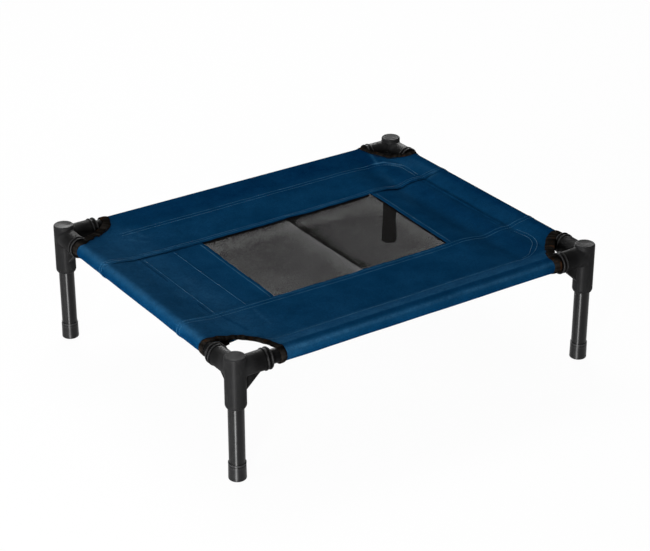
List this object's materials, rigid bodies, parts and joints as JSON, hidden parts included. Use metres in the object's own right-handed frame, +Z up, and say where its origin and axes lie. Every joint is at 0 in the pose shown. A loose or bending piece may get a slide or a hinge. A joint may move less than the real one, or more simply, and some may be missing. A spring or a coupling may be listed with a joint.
{
  "type": "raised dog cot",
  "caption": "Raised pet cot: sewn cloth deck with a mesh window stretched on a tube frame with moulded corner connectors and push-fit capped legs.",
  "frame": {"origin": "on the floor below the middle of the cot", "axes": "+X along the length, +Y across the width towards the back, +Z up"},
  "size_m": [0.611, 0.499, 0.182],
  "materials": {
    "connector_plastic": "satin moulded black plastic",
    "tube_powder_coat": "gloss black powder coat on steel tube",
    "foot_plastic": "satin black plastic cap",
    "deck_cloth": "navy woven polyester with a coated back",
    "window_mesh": "dark grey open polyester mesh",
    "binding_tape": "black-brown woven edge tape"
  },
  "bodies": {
    "frame": {"corner_front_left": "connector_plastic", "corner_front_right": "connector_plastic", "corner_back_left": "connector_plastic", "corner_back_right": "connector_plastic", "rail_front": "tube_powder_coat", "rail_back": "tube_powder_coat", "rail_left": "tube_powder_coat", "rail_right": "tube_powder_coat", "cover_front": "deck_cloth", "cover_back": "deck_cloth", "cover_left": "deck_cloth", "cover_right": "deck_cloth", "mesh_window": "window_mesh", "binding_front_left": "binding_tape", "binding_front_right": "binding_tape", "binding_back_left": "binding_tape", "binding_back_right": "binding_tape"},
    "leg_front_left": {"leg_front_left": "tube_powder_coat", "foot_front_left": "foot_plastic"},
    "leg_front_right": {"leg_front_right": "tube_powder_coat", "foot_front_right": "foot_plastic"},
    "leg_back_left": {"leg_back_left": "tube_powder_coat", "foot_back_left": "foot_plastic"},
    "leg_back_right": {"leg_back_right": "tube_powder_coat", "foot_back_right": "foot_plastic"}
  },
  "joints": [
    {"name": "leg_front_left_pull", "type": "slide", "parent": "frame", "child": "leg_front_left", "axis": [0, 0, -1], "range_m": [0, 0.045]},
    {"name": "leg_front_right_pull", "type": "slide", "parent": "frame", "child": "leg_front_right", "axis": [0, 0, -1], "range_m": [0, 0.045]},
    {"name": "leg_back_left_pull", "type": "slide", "parent": "frame", "child": "leg_back_left", "axis": [0, 0, -1], "range_m": [0, 0.045]},
    {"name": "leg_back_right_pull", "type": "slide", "parent": "frame", "child": "leg_back_right", "axis": [0, 0, -1], "range_m": [0, 0.045]}
  ]
}
